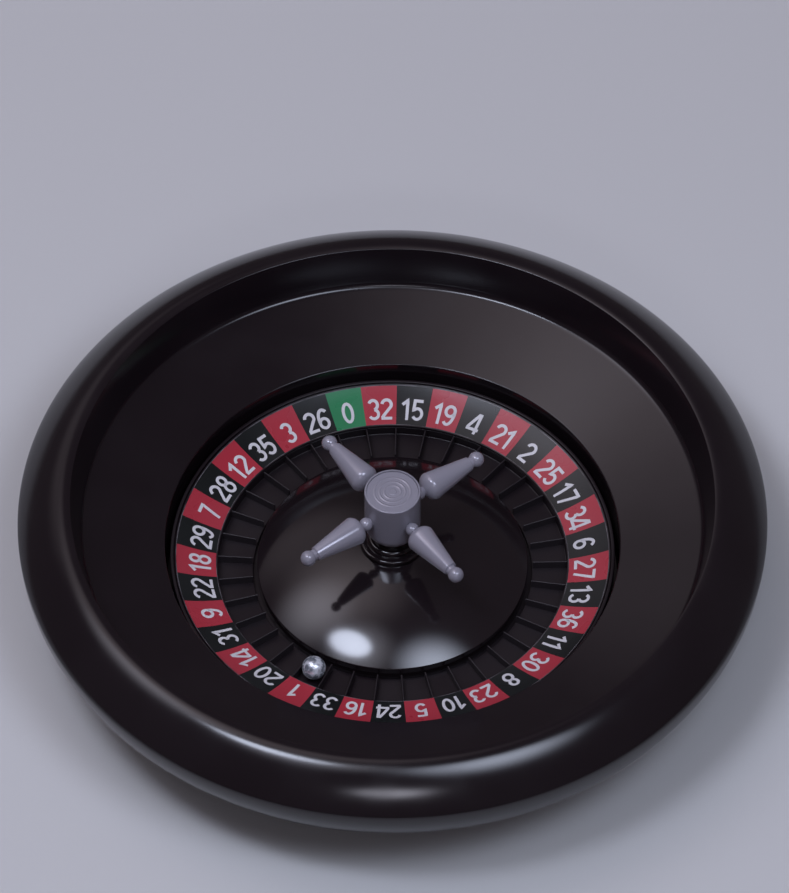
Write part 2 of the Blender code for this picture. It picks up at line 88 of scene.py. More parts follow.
def addCamera():
    lens = bpy.data.cameras.new("photoCamera")
    lens.lens = view["lens"]
    lens.sensor_width = view["sensor"]
    camera = addObject("photoCamera", lens)
    tilt = view["elevation"]
    back = Vector((0, -math.cos(tilt), math.sin(tilt)))
    upward = Vector((0, math.sin(tilt), math.cos(tilt)))
    width, height = view["frame"]
    across, down = view["wheelPixel"]
    aim = Vector((0, 0, measure("number_ring").high))
    aim += Vector((1, 0, 0)) * (width / 2 - across) * view["pixel"]
    aim += upward * (down - height / 2) * view["pixel"]
    distance = view["pixel"] * height * view["lens"] / view["sensor"]
    camera.location = aim + back * distance
    camera.rotation_euler = (quarter - tilt, 0, 0)
    lens.clip_start, lens.clip_end = (distance * share for share in view["clipShares"])
    scene.camera = camera


# Light: soft lamps and a dim world. A lamp lies along "toward" from the wheel and spans "spread" degrees
# across and in depth. It is turned by "spin" degrees, and fades out from the share "core" of its reach.
room = {
    "worldColour": (1.0, 0.84, 0.92),
    "worldStrength": 0.095,
    "floorColour": (0.54, 0.54, 0.54),
    "floorRadius": 14.0,
    "floorSides": 96,
    "floorRoughness": 0.6,
    "lampCentre": (0.0, 0.0, 0.03),
    "lampDistance": 2.0,
    "coolLight": (0.74, 0.81, 1.0),
    "softLight": (0.86, 0.86, 1.0),
    "warmLight": (1.0, 0.87, 0.94),
    # each lamp: toward, spread, spin, core, radiance and colour
    "lamps": {
        "mainLamp": ((-0.311, -0.190, 0.930), (22, 12.5), -25, 0.7, 17, "coolLight"),
        "mainHalo": ((-0.24, -0.26, 0.93), (38, 32), 0, 0.0, 2.8, "softLight"),
        "rightLamp": ((0.31, -0.36, 0.88), (42, 32), 0, 0.1, 9.5, "coolLight"),
        "leftGlow": ((-0.53, 0.12, 0.84), (42, 38), 0, 0.0, 2.2, "softLight"),
        "rearGlow": ((-0.47, 0.66, 0.58), (56, 44), 0, 0.2, 0.32, "warmLight"),
        "overhead": ((-0.34, 0.24, 0.90), (66, 56), 0, 0.0, 1.3, "warmLight"),
        "frontLamp": ((0.0, -0.75, 0.66), (24, 9), 0, 0.3, 8, "softLight"),
    },
}


def addLamps():
    for name, (toward, spread, spin, core, radiance, colour) in room["lamps"].items():
        reach = [2 * room["lampDistance"] * math.tan(math.radians(turn) / 2) for turn in spread]
        light = bpy.data.lights.new(name, "AREA")
        light.shape = "RECTANGLE"
        light.size, light.size_y = reach
        light.energy = radiance * math.pi * reach[0] * reach[1]
        light.color = room[colour]
        fadeLamp(light, core)
        outward = Vector(toward).normalized()
        across = (Vector((1, 0, 0)) - outward * outward.x).normalized()
        across.rotate(Matrix.Rotation(math.radians(spin), 3, outward))
        holder = addObject(name, light)
        holder.location = Vector(room["lampCentre"]) + outward * room["lampDistance"]
        holder.rotation_euler = Matrix((across, outward.cross(across), outward)).transposed().to_euler()
        holder.visible_camera = False
    world = bpy.data.worlds.new("dimWorld")
    world.use_nodes = True
    backdrop = world.node_tree.nodes["Background"]
    backdrop.inputs["Color"].default_value = (*room["worldColour"], 1)
    backdrop.inputs["Strength"].default_value = room["worldStrength"]
    scene.world = world


def fadeLamp(light, core):
    # an oval of light with a soft edge, on a lamp whose surface coordinates run from 0 to 1
    middle = edge = 0.5
    light.use_nodes = True
    tree = light.node_tree
    spot = addNode(tree, "ShaderNodeNewGeometry").outputs["Parametric"]
    centred = addNode(tree, "ShaderNodeVectorMath", operation="SUBTRACT")
    centred.inputs[1].default_value = (middle, middle, 0)
    tree.links.new(spot, centred.inputs[0])
    distance = addNode(tree, "ShaderNodeVectorMath", operation="LENGTH")
    tree.links.new(centred.outputs["Vector"], distance.inputs[0])
    fade = stretch(tree, distance.outputs["Value"], core * edge, edge, 1.0, 0.0)
    feed(tree, tree.nodes["Emission"], Strength=fade)


def addFloor():
    shape = bmesh.new()
    sides, radius = room["floorSides"], room["floorRadius"]
    bmesh.ops.create_circle(shape, cap_ends=True, segments=sides, radius=radius)
    mesh = finishMesh(shape, "floor")
    mesh.materials.append(newMaterial("paleFloor", room["floorColour"], room["floorRoughness"])[0])
    addObject("floor", mesh)


# Node helpers
def newMaterial(name, colour, roughness, metallic=0.0, specular=0.5):
    material = bpy.data.materials.new(name)
    material.use_nodes = True
    tree = material.node_tree
    shader = tree.nodes["Principled BSDF"]
    feed(tree, shader, Base_Color=(*colour, 1), Roughness=roughness, Metallic=metallic)
    feed(tree, shader, Specular_IOR_Level=specular)
    return material, tree, shader


def addNode(tree, kind, **settings):
    node = tree.nodes.new(kind)
    for name, value in settings.items():
        setattr(node, name, value)
    return node


def join(tree, value, socket):
    if isinstance(value, bpy.types.NodeSocket):
        tree.links.new(value, socket)
    else:
        socket.default_value = value


def feed(tree, node, **values):
    # sets or links inputs by their names, with _ for a space
    for name, value in values.items():
        join(tree, value, node.inputs[name.replace("_", " ")])
    return node


def calculate(tree, operation, first, second=0.0):
    node = addNode(tree, "ShaderNodeMath", operation=operation)
    for socket, value in zip(node.inputs, (first, second)):
        join(tree, value, socket)
    return node.outputs[0]


def stretch(tree, value, fromLow, fromHigh, toLow=0.0, toHigh=1.0):
    # fromLow and fromHigh become toLow and toHigh, with a soft step between them
    node = addNode(tree, "ShaderNodeMapRange", interpolation_type="SMOOTHSTEP")
    feed(tree, node, Value=value, From_Min=fromLow, From_Max=fromHigh, To_Min=toLow, To_Max=toHigh)
    return node.outputs["Result"]


def blendColours(tree, share, first, second):
    node = addNode(tree, "ShaderNodeMix", data_type="RGBA")
    join(tree, share, node.inputs["Factor"])
    colourSockets = [s for s in node.inputs if s.type == "RGBA"]
    for socket, value in zip(colourSockets, (first, second)):
        join(tree, value if isinstance(value, bpy.types.NodeSocket) else (*value, 1), socket)
    return next(s for s in node.outputs if s.type == "RGBA")


def newGroup(name, inputs, outputs):
    group = bpy.data.node_groups.new(name, "ShaderNodeTree")
    for socketName, value in inputs.items():
        socket = group.interface.new_socket(socketName, in_out="INPUT", socket_type="NodeSocketFloat")
        socket.default_value = value
    for socketName in outputs:
        group.interface.new_socket(socketName, in_out="OUTPUT", socket_type="NodeSocketFloat")
    return group, group.nodes.new("NodeGroupInput"), group.nodes.new("NodeGroupOutput")


def patches(tree, place, size, detail=2.0, wander=0.0):
    # noise whose patches have this size
    node = addNode(tree, "ShaderNodeTexNoise")
    scale = calculate(tree, "DIVIDE", 1.0, size)
    feed(tree, node, Vector=place, Scale=scale, Detail=detail, Distortion=wander)
    return node.outputs["Fac"]


# Marks on a surface: their sizes, and the levels of noise or slope between which they grow.
markLook = {
    "mould": {"Ripple Size": 20.0 * mm, "Grain Size": 0.4 * mm},
    "handling": {
        "Scratch Size": 30.0 * mm, "Scratch Width": 0.004, "Smudge Size": 30.0 * mm, "Dust Size": 0.6 * mm,
    },
    "scratchWander": 1.2,
    "scratchBreaks": 1 / 90,
    "breakLevels": (0.52, 0.6),
    "smudgeWander": 0.3,
    "smudgeLevels": (0.32, 0.68),
    "dustLevels": (0.69, 0.78),
    "dustSlopes": (0.35, 0.9),
}


def makeMouldGroup():
    # moulded plastic: a slow sink-mark ripple and a very fine grain, as heights
    group, given, made = newGroup("mouldedSurface", markLook["mould"], ["Ripple", "Grain"])
    place = addNode(group, "ShaderNodeTexCoord").outputs["Object"]
    ripple = patches(group, place, given.outputs["Ripple Size"], detail=1.0)
    feed(group, made, Ripple=ripple, Grain=patches(group, place, given.outputs["Grain Size"]))
    return group


def makeHandlingGroup():
    # what handling leaves: hairline scratches, greasy smudges and settled dust, each from 0 to 1
    look = markLook
    group, given, made = newGroup("handlingMarks", look["handling"], ["Scratches", "Smudges", "Dust"])
    place = addNode(group, "ShaderNodeTexCoord").outputs["Object"]

    lines = patches(group, place, given.outputs["Scratch Size"], 1.0, look["scratchWander"])
    fromLine = calculate(group, "ABSOLUTE", calculate(group, "SUBTRACT", lines, 0.5))
    thin = calculate(group, "DIVIDE", fromLine, given.outputs["Scratch Width"])
    line = stretch(group, thin, 0.0, 1.0, 1.0, 0.0)
    broken = stretch(group, patches(group, place, look["scratchBreaks"]), *look["breakLevels"])
    scratches = calculate(group, "MULTIPLY", line, broken)

    smudges = patches(group, place, given.outputs["Smudge Size"], 3.0, look["smudgeWander"])
    smudges = stretch(group, smudges, *look["smudgeLevels"])

    specks = stretch(group, patches(group, place, given.outputs["Dust Size"]), *look["dustLevels"])
    facing = addNode(group, "ShaderNodeSeparateXYZ")
    group.links.new(addNode(group, "ShaderNodeNewGeometry").outputs["Normal"], facing.inputs[0])
    dust = calculate(group, "MULTIPLY", specks, stretch(group, facing.outputs["Z"], *look["dustSlopes"]))
    feed(group, made, Scratches=scratches, Smudges=smudges, Dust=dust)
    return group


def useGroup(tree, group, **values):
    node = addNode(tree, "ShaderNodeGroup", node_tree=group)
    return feed(tree, node, **values)


def bump(tree, shader, height, strength, distance):
    node = addNode(tree, "ShaderNodeBump")
    feed(tree, node, Height=height, Strength=strength, Distance=distance)
    feed(tree, shader, Normal=node.outputs["Normal"])


def smudged(tree, marks, fresh, dull, roughness):
    # smudges take the colour from fresh to dull, and the roughness from its first value to its second
    smudges = marks.outputs["Smudges"]
    return blendColours(tree, smudges, fresh, dull), stretch(tree, smudges, 0.0, 1.0, *roughness)


# Moulded plastics: colour, how the gloss varies, and how strong each mark is.
plastics = {
    "bowlBlack": {
        "colour": (0.0080, 0.0052, 0.0069), "worn": (0.0094, 0.0064, 0.0082), "roughness": (0.15, 0.19),
        "ripple": 0.05, "grain": 0.03, "scratch": 0.05, "dust": 0.03, "specular": 0.47,
    },
    "domeBlack": {
        "colour": (0.0100, 0.0068, 0.0082), "worn": (0.0112, 0.0078, 0.0093), "roughness": (0.10, 0.12),
        "ripple": 0.015, "grain": 0.01, "scratch": 0.03, "dust": 0.02, "specular": 0.55,
    },
    "rotorBlack": {
        "colour": (0.0075, 0.0044, 0.0062), "worn": (0.0100, 0.0066, 0.0085), "roughness": (0.32, 0.42),
        "ripple": 0.05, "grain": 0.05, "scratch": 0.05, "dust": 0.04, "specular": 0.35,
    },
    # lighter than rotorBlack, the frets' own plastic, so that the frets' shaded sides come out as light as
    # the pocket floor: painted light
    "fretBlackPaintedLight": {
        "colour": (0.0150, 0.0112, 0.0136), "worn": (0.0180, 0.0138, 0.0164), "roughness": (0.36, 0.44),
        "ripple": 0.03, "grain": 0.04, "scratch": 0.05, "dust": 0.04, "specular": 0.4,
    },
    "basePlain": {
        "colour": (0.016, 0.0145, 0.0165), "worn": (0.030, 0.028, 0.032), "roughness": (0.48, 0.62),
        "ripple": 0.05, "grain": 0.45, "scratch": 0.16, "dust": 0.20,
    },
    "turretSilver": {
        "colour": (0.262, 0.252, 0.296), "worn": (0.291, 0.280, 0.324), "roughness": (0.11, 0.15),
        "ripple": 0.03, "grain": 0.04, "scratch": 0.05, "dust": 0.03, "metallic": 0.12,
    },
}
plasticFinish = {
    "metallic": 0.0, "specular": 0.5, "dustColour": (0.35, 0.34, 0.33), "grainDepth": 0.1,
    "scratchDepth": 0.05, "relief": 1.0 * mm,
}


def makePlastic(name, look, groups):
    fresh, worn, roughness = look["colour"], look["worn"], look["roughness"]
    material, tree, shader = newMaterial(name, fresh, roughness[0], look["metallic"], look["specular"])
    surface = useGroup(tree, groups["mould"])
    marks = useGroup(tree, groups["handling"])

    def someOf(node, output, share):
        return calculate(tree, "MULTIPLY", node.outputs[output], share)

    shade, gloss = smudged(tree, marks, fresh, worn, roughness)
    dusty = blendColours(tree, someOf(marks, "Dust", look["dust"]), shade, look["dustColour"])
    scuffed = calculate(tree, "ADD", gloss, someOf(marks, "Scratches", look["scratch"]))
    feed(tree, shader, Base_Color=dusty, Roughness=scuffed)

    ripple = someOf(surface, "Ripple", look["ripple"])
    grain = someOf(surface, "Grain", look["grain"] * look["grainDepth"])
    cut = someOf(marks, "Scratches", look["scratch"] * look["scratchDepth"])
    height = calculate(tree, "SUBTRACT", calculate(tree, "ADD", ripple, grain), cut)
    bump(tree, shader, height, 1.0, look["relief"])
    return material


# Printed inks on the number ring, and the grey of a painted highlight along its edges: a fresh and a dull
# colour, in patches.
inks = {
    "inkRed": {"fresh": (0.365, 0.028, 0.044), "dull": (0.345, 0.034, 0.050)},
    "inkBlack": {"fresh": (0.0070, 0.0086, 0.0086), "dull": (0.0110, 0.0126, 0.0128)},
    "inkGreen": {"fresh": (0.020, 0.195, 0.074), "dull": (0.026, 0.184, 0.078)},
    "inkWhite": {"fresh": (0.62, 0.61, 0.63), "dull": (0.55, 0.54, 0.56)},
    # a pale grey line along each edge of the band, broken into near-black patches, that stands in for light
    # caught on the band's edges: a painted highlight
    "edgeHighlightGrey": {"fresh": (0.150, 0.142, 0.152), "dull": (0.012, 0.010, 0.012), "patch": 7.0 * mm},
}
inkFinish = {
    "roughness": (0.24, 0.32), "metallic": 0.0, "specular": 0.4, "patch": 30.0 * mm,
    "grain": 0.25, "grainSize": 0.4 * mm, "relief": 0.02 * mm,
}

# Metals, and what the small hidden parts are made of.
metals = {
    "plainSteel": {
        "fresh": (0.56, 0.56, 0.58), "dull": (0.44, 0.44, 0.46), "roughness": (0.24, 0.42), "grain": 0.3,
    },
    "ballSteelPaintedReflection": {
        # pale and dark patches of 2.4 mm in its colour stand in for the surroundings mirrored in the ball,
        # and the part-diffuse pale colour brightens it: painted reflection
        "fresh": (0.86, 0.90, 0.97), "dull": (0.16, 0.18, 0.21), "roughness": (0.30, 0.26), "grain": 0.12,
        "metallic": 0.45, "patch": 2.4 * mm,
    },
    "turnedBrass": {
        "fresh": (0.70, 0.48, 0.20), "dull": (0.52, 0.35, 0.15), "roughness": (0.22, 0.36), "grain": 0.2,
    },
    "whiteNylon": {
        "fresh": (0.74, 0.73, 0.68), "dull": (0.64, 0.63, 0.57), "roughness": (0.45, 0.55), "grain": 0.2,
        "metallic": 0.0,
    },
    "footRubber": {
        "fresh": (0.022, 0.022, 0.022), "dull": (0.034, 0.033, 0.032), "roughness": (0.72, 0.88),
        "grain": 0.8, "metallic": 0.0,
    },
}
metalFinish = {
    "metallic": 1.0, "specular": 0.5, "patch": 6.0 * mm, "grainSize": 0.3 * mm, "relief": 0.03 * mm,
}


def makeInkOrMetal(name, look, groups):
    fresh, roughness = look["fresh"], look["roughness"]
    material, tree, shader = newMaterial(name, fresh, roughness[0], look["metallic"], look["specular"])
    marks = useGroup(tree, groups["handling"], Smudge_Size=look["patch"])
    surface = useGroup(tree, groups["mould"], Grain_Size=look["grainSize"])
    shade, gloss = smudged(tree, marks, fresh, look["dull"], roughness)
    feed(tree, shader, Base_Color=shade, Roughness=gloss)
    bump(tree, shader, surface.outputs["Grain"], look["grain"], look["relief"])
    return material


# Outlines: lists of (radius, height).
outlineLook = {
    "filletSteps": 5,
    "holdShare": 0.3,  # of a fillet's radius, to the point beside it
    "leastCosine": 0.4,  # keeps the wall of a sharp corner from running far out
    "sharpTurn": 38,
    "weld": 0.0005 * mm,
}


def arcPoints(centre, radii, start, end, count):
    angles = [start + (end - start) * k / count for k in range(count + 1)]
    return [(centre[0] + radii[0] * math.cos(a), centre[1] + radii[1] * math.sin(a)) for a in angles]


def bendPoints(start, startHandle, endHandle, end, count):
    corners = [Vector((*point, 0)) for point in (start, startHandle, endHandle, end)]
    return [(point.x, point.y) for point in interpolate_bezier(*corners, count + 1)]


def rounded(corners, closed=True, steps=outlineLook["filletSteps"]):
    # each corner is (radius, height) or (radius, height, fillet)
    # a holding point beside each fillet keeps the flats there flat
    hold = outlineLook["holdShare"]
    outline = []
    count = len(corners)
    for k, corner in enumerate(corners):
        here = Vector(corner[:2])
        fillet = corner[2] if len(corner) > 2 else 0
        ends = k in (0, count - 1) and not closed
        before = Vector(corners[k - 1][:2]) - here
        after = Vector(corners[(k + 1) % count][:2]) - here
        if not fillet or ends or before.length == 0 or after.length == 0:
            outline.append(tuple(here))
            continue
        before.normalize()
        after.normalize()
        half = before.angle(after) / 2
        reach = fillet / math.tan(half)
        middle = here + (before + after).normalized() * fillet / math.sin(half)
        first, last = here + before * reach, here + after * reach
        turnFirst = math.atan2(*(first - middle).yx)
        turnLast = math.atan2(*(last - middle).yx)
        sweep = (turnLast - turnFirst + math.pi) % math.tau - math.pi
        outline.append(tuple(first + before * fillet * hold))
        outline += arcPoints(middle, (fillet, fillet), turnFirst, turnFirst + sweep, steps)
        outline.append(tuple(last + after * fillet * hold))
    return outline


def offsetOutline(points, wall):
    # the same outline moved inwards by a wall's thickness, to its right as it runs
    moved = []
    for k, point in enumerate(points):
        before = Vector(points[max(k - 1, 0)])
        after = Vector(points[min(k + 1, len(points) - 1)])
        here = Vector(point)
        sides = []
        for way in (here - before, after - here):
            if way.length > 0:
                way.normalize()
                sides.append(Vector((way.y, -way.x)))
        side = sum(sides, Vector((0, 0))).normalized()
        stretchBy = 1 / max(side.dot(sides[0]), outlineLook["leastCosine"])
        moved.append(tuple(here + side * wall * stretchBy))
    return moved


def turnedMesh(name, outline, sides, closed=True, sharpTurn=outlineLook["sharpTurn"]):
    # an outline turned round the spindle's axis; one that isn't closed starts and ends on the axis
    shape = bmesh.new()
    spots = [shape.verts.new((radius, height, 0)) for radius, height in outline]
    for spot, follower in zip(spots, spots[1:]):
        shape.edges.new((spot, follower))
    if closed:
        shape.edges.new((spots[-1], spots[0]))
    drawn = bpy.data.meshes.new(name + "Outline")
    shape.to_mesh(drawn)
    shape.free()
    turned = runTree(trees["turn"], drawn, Sides=sides)
    shape = bmesh.new()
    shape.from_mesh(turned)
    bmesh.ops.remove_doubles(shape, verts=shape.verts, dist=outlineLook["weld"])
    bmesh.ops.recalc_face_normals(shape, faces=shape.faces)
    return finishMesh(shape, name, sharpTurn)


def finishMesh(shape, name, sharpTurn=outlineLook["sharpTurn"]):
    mesh = bpy.data.meshes.new(name)
    shape.to_mesh(mesh)
    shape.free()
    mesh.shade_smooth()
    mesh.set_sharp_from_angle(angle=math.radians(sharpTurn))
    return mesh


def addTurned(name, outline, sides, finish, slot, body, node, **options):
    addPiece(name, turnedMesh(name, outline, sides, **options), finish, slot, body, node)


def addPiece(name, mesh, finish, slot, body, *nodes):
    # a mesh that comes with its materials has None as its finish
    if finish:
        mesh.materials.append(materials[finish])
    mesh.name = name
    piece = addObject(name, mesh)
    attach(piece, body)
    if nodes:
        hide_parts(*nodes)


# Geometry Nodes: one tree turns an outline round the spindle's axis, the other sets copies round it.
def openTree(name, inputs):
    tree = bpy.data.node_groups.new(name, "GeometryNodeTree")
    for socketName, kind in (("Geometry", "Geometry"), *inputs, ("Material", "Material")):
        tree.interface.new_socket(socketName, in_out="INPUT", socket_type=f"NodeSocket{kind}")
    tree.interface.new_socket("Geometry", in_out="OUTPUT", socket_type="NodeSocketGeometry")
    return tree, addNode(tree, "NodeGroupInput")


def closeTree(tree, given, geometry):
    whole = feed(tree, addNode(tree, "GeometryNodeRealizeInstances"), Geometry=geometry)
    painted = addNode(tree, "GeometryNodeSetMaterial")
    feed(tree, painted, Geometry=whole.outputs[0], Material=given.outputs["Material"])
    feed(tree, addNode(tree, "NodeGroupOutput"), Geometry=painted.outputs[0])
    return tree


def makeTurnTree():
    # the outline's first coordinate is its radius and its second its height
    guide = 1.0 * mm
    tree, given = openTree("turnOutline", [("Sides", "Int")])
    circle = addNode(tree, "GeometryNodeCurvePrimitiveCircle", mode="RADIUS")
    feed(tree, circle, Resolution=given.outputs["Sides"], Radius=guide)
    upright = addNode(tree, "GeometryNodeSetCurveNormal", mode="Z_UP")
    feed(tree, upright, Curve=circle.outputs[0])
    place = addNode(tree, "ShaderNodeSeparateXYZ")
    tree.links.new(addNode(tree, "GeometryNodeInputPosition").outputs[0], place.inputs[0])
    laid = addNode(tree, "ShaderNodeCombineXYZ")
    feed(tree, laid, X=calculate(tree, "SUBTRACT", place.outputs["X"], guide))
    feed(tree, laid, Y=calculate(tree, "MULTIPLY", place.outputs["Y"], -1.0))
    moved = addNode(tree, "GeometryNodeSetPosition")
    feed(tree, moved, Geometry=given.outputs["Geometry"], Position=laid.outputs[0])
    drawn = feed(tree, addNode(tree, "GeometryNodeMeshToCurve"), Mesh=moved.outputs[0])
    swept = addNode(tree, "GeometryNodeCurveToMesh")
    feed(tree, swept, Curve=upright.outputs[0], Profile_Curve=drawn.outputs[0])
    return closeTree(tree, given, swept.outputs[0])


def makeRingTree():
    inputs = [("Count", "Int"), ("Radius", "Float"), ("Height", "Float"), ("First Turn", "Float")]
    tree, given = openTree("setRoundTheSpindle", inputs)
    index = addNode(tree, "GeometryNodeInputIndex").outputs[0]
    share = calculate(tree, "DIVIDE", index, given.outputs["Count"])
    turn = calculate(tree, "ADD", calculate(tree, "MULTIPLY", share, math.tau), given.outputs["First Turn"])
    place = addNode(tree, "ShaderNodeCombineXYZ")
    for axis, operation in (("X", "COSINE"), ("Y", "SINE")):
        reach = calculate(tree, "MULTIPLY", calculate(tree, operation, turn), given.outputs["Radius"])
        tree.links.new(reach, place.inputs[axis])
    tree.links.new(given.outputs["Height"], place.inputs["Z"])
    facing = feed(tree, addNode(tree, "ShaderNodeCombineXYZ"), Z=turn)
    points = addNode(tree, "GeometryNodePoints")
    feed(tree, points, Count=given.outputs["Count"], Position=place.outputs[0])
    copies = addNode(tree, "GeometryNodeInstanceOnPoints")
    feed(tree, copies, Points=points.outputs[0], Instance=given.outputs["Geometry"])
    feed(tree, copies, Rotation=facing.outputs[0])
    return closeTree(tree, given, copies.outputs[0])


def evaluatedMesh(holder):
    bpy.context.view_layer.update()
    return bpy.data.meshes.new_from_object(holder.evaluated_get(bpy.context.evaluated_depsgraph_get()))


def runTree(tree, mesh, **values):
    # the plain mesh that a tree makes of this one
    holder = addObject(mesh.name, mesh)
    modifier = holder.modifiers.new(tree.name, "NODES")
    modifier.node_group = tree
    for socket in tree.interface.items_tree:
        name = socket.name.replace(" ", "_")
        if socket.in_out == "INPUT" and name in values:
            modifier[socket.identifier] = values[name]
    made = evaluatedMesh(holder)
    holder.modifiers.remove(modifier)
    bpy.data.objects.remove(holder)
    return made


def setRound(mesh, count, radius, height, firstTurn, finish):
    placed = {"Count": count, "Radius": radius, "Height": height, "First_Turn": firstTurn}
    return runTree(trees["ring"], mesh, Material=materials[finish], **placed)


# Bowl: one black moulding, turned, with its screw bosses underneath.
bowlLook = {
    "sides": 360,
    "wall": 2.0 * mm,
    "spindleHole": 3.3 * mm,
    "floorBossRadius": 8.0 * mm,
    "floorBossHeight": 1.2 * mm,
    "apronWidth": 27.6 * mm,
    "apronRise": 8.5 * mm,
    "trackLean": 3.7 * mm,
    "trackHeight": 14.5 * mm,
    "crestWidth": 2.2 * mm,
    "crestRise": 0.4 * mm,
    "flareWidth": 15.5 * mm,
    "flareDrop": 12.2 * mm,
    "crestHandle": 0.35,
    "bellyHandle": 0.12,
    "bellyRadius": 22.5 * mm,
    "bellyTurn": math.radians(38.7),
    "wellEdge": 0.5 * mm,
    "apronRound": 2.4 * mm,
    "bossRadius": 3.4 * mm,
    "bossHole": 1.6 * mm,
    "bossHeight": 12.0 * mm,
    "bossSides": 32,
    "bossEdge": 0.4 * mm,
    "gap": 0.3 * mm,
    "floorBossEdge": 0.3 * mm,
    "wellRound": 0.8 * mm,
    "crestSteps": 10,
    "flareSteps": 28,
    "bellySteps": 16,
    "sharpTurn": 40,
}


def makeBowl():
    look = bowlLook
    shell = measure("bowl_shell")
    floorBoss = measure("thrust_washer").low - look["gap"]
    floorTop = floorBoss - look["floorBossHeight"]
    crestRadius = shell.outer - look["flareWidth"]
    rimInner = shell.high - look["crestRise"]
    rimRadius = crestRadius - look["crestWidth"]
    trackFoot = rimRadius - look["trackLean"]
    apronOuter = rimInner - look["trackHeight"]
    wellRadius = trackFoot - look["apronWidth"]
    apronInner = apronOuter - look["apronRise"]
    belly = shell.high - look["flareDrop"]
    bellyCentre = shell.outer - look["bellyRadius"]

    corners = [(look["floorBossRadius"], height, look["floorBossEdge"]) for height in (floorBoss, floorTop)]
    corners += [(wellRadius, floorTop, look["wellRound"]), (wellRadius, apronInner, look["wellEdge"])]
    corners += [(trackFoot, apronOuter, look["apronRound"]), (rimRadius, rimInner)]
    outline = rounded([(look["spindleHole"], floorBoss)] + corners, closed=False)[:-1]
    crestRadii = (look["crestWidth"], look["crestRise"])
    outline += arcPoints((crestRadius, rimInner), crestRadii, math.pi, quarter, look["crestSteps"])
    crestHandle = (crestRadius + look["flareWidth"] * look["crestHandle"], shell.high)
    bellyHandle = (shell.outer, belly + look["flareDrop"] * look["bellyHandle"])
    crestEnd, bellyEnd = (crestRadius, shell.high), (shell.outer, belly)
    outline += bendPoints(crestEnd, crestHandle, bellyHandle, bellyEnd, look["flareSteps"])[1:]
    bellyRadii = (look["bellyRadius"], look["bellyRadius"])
    outline += arcPoints((bellyCentre, belly), bellyRadii, 0, -look["bellyTurn"], look["bellySteps"])[1:]
    endRadius, endHeight = outline[-1]
    edgeHeight = shell.low + look["wall"] * math.sin(look["bellyTurn"]) / 2
    edgeRadius = endRadius - (endHeight - edgeHeight) * math.tan(look["bellyTurn"])
    outline += [(edgeRadius, edgeHeight)]
    outline += reversed(offsetOutline(outline, look["wall"]))
    named = ("bowlBlack", "black_gloss", "bowl", "bowl_shell")
    addTurned("bowlShell", outline, look["sides"], *named, sharpTurn=look["sharpTurn"])

    low = measure("base_cover").high + look["gap"]
    radius, height = look["bossRadius"], look["bossHeight"]
    boss = [(look["bossHole"], height), (radius, height, look["bossEdge"])]
    boss += [(radius, 0), (look["bossHole"], 0)]
    mesh = turnedMesh("boss", rounded(boss), look["bossSides"])
    ring = middleOf("base_screw_1").xy.length
    bosses = setRound(mesh, baseLook["screwCount"], ring, low, 0.0, "bowlBlack")
    addPiece("bowlBosses", bosses, None, "black_gloss", "bowl")


# Base: the cover, its six screws and four rubber feet.
baseLook = {
    "coverEdge": 0.4 * mm,
    "screwRadius": 1.3 * mm,
    "headRadius": 2.7 * mm,
    "headHeight": 1.3 * mm,
    "crossWidth": 0.62 * mm,
    "crossLength": 2.9 * mm,
    "crossDepth": 0.75 * mm,
    "footRadius": 7.0 * mm,
    "footEdge": 0.6 * mm,
    "footPeg": 2.0 * mm,
    "footHeight": 2.1 * mm,
    "coverSides": 256,
    "screwCount": 6,
    "screwSides": 40,
    "headSteps": 8,
    "headHandles": (0.7, 0.35),  # shares of the head's radius and height
    "headSide": 0.8,
    "footCount": 4,
    "footSides": 64,
    "footTurn": math.pi / 4,
    "pegEdge": 0.3 * mm,
}


def baseScrewMesh(low, high):
    # head down, shank up, with a cross cut into the head
    look = baseLook
    radius, headRadius, headHeight = look["screwRadius"], look["headRadius"], look["headHeight"]
    across, up = look["headHandles"]
    seat = low + headHeight
    handle, side = (headRadius, low + headHeight * up), (headRadius, low + headHeight * look["headSide"])
    outline = bendPoints((0, low), (headRadius * across, low), handle, side, look["headSteps"])
    outline += [(headRadius, seat), (radius, seat), (radius, high - radius), (0, high)]
    mesh = turnedMesh("baseScrew", outline, look["screwSides"], closed=False)
    blade = bmesh.new()
    size = Matrix.Diagonal((look["crossLength"], look["crossWidth"], 2 * look["crossDepth"], 1))
    for turn in (0, quarter):
        place = Matrix.Translation((0, 0, low)) @ Matrix.Rotation(turn, 4, "Z")
        bmesh.ops.create_cube(blade, size=1, matrix=place @ size)
    return cutMesh(mesh, finishMesh(blade, "cross"))


def cutMesh(mesh, cutter):
    piece, tool = addObject("cutPiece", mesh), addObject("cutTool", cutter)
    boolean = piece.modifiers.new("cut", "BOOLEAN")
    boolean.operation = "DIFFERENCE"
    boolean.use_self = True
    boolean.object = tool
    made = evaluatedMesh(piece)
    for holder in (piece, tool):
        bpy.data.objects.remove(holder)
    made.shade_smooth()
    made.set_sharp_from_angle(angle=math.radians(outlineLook["sharpTurn"]))
    return made


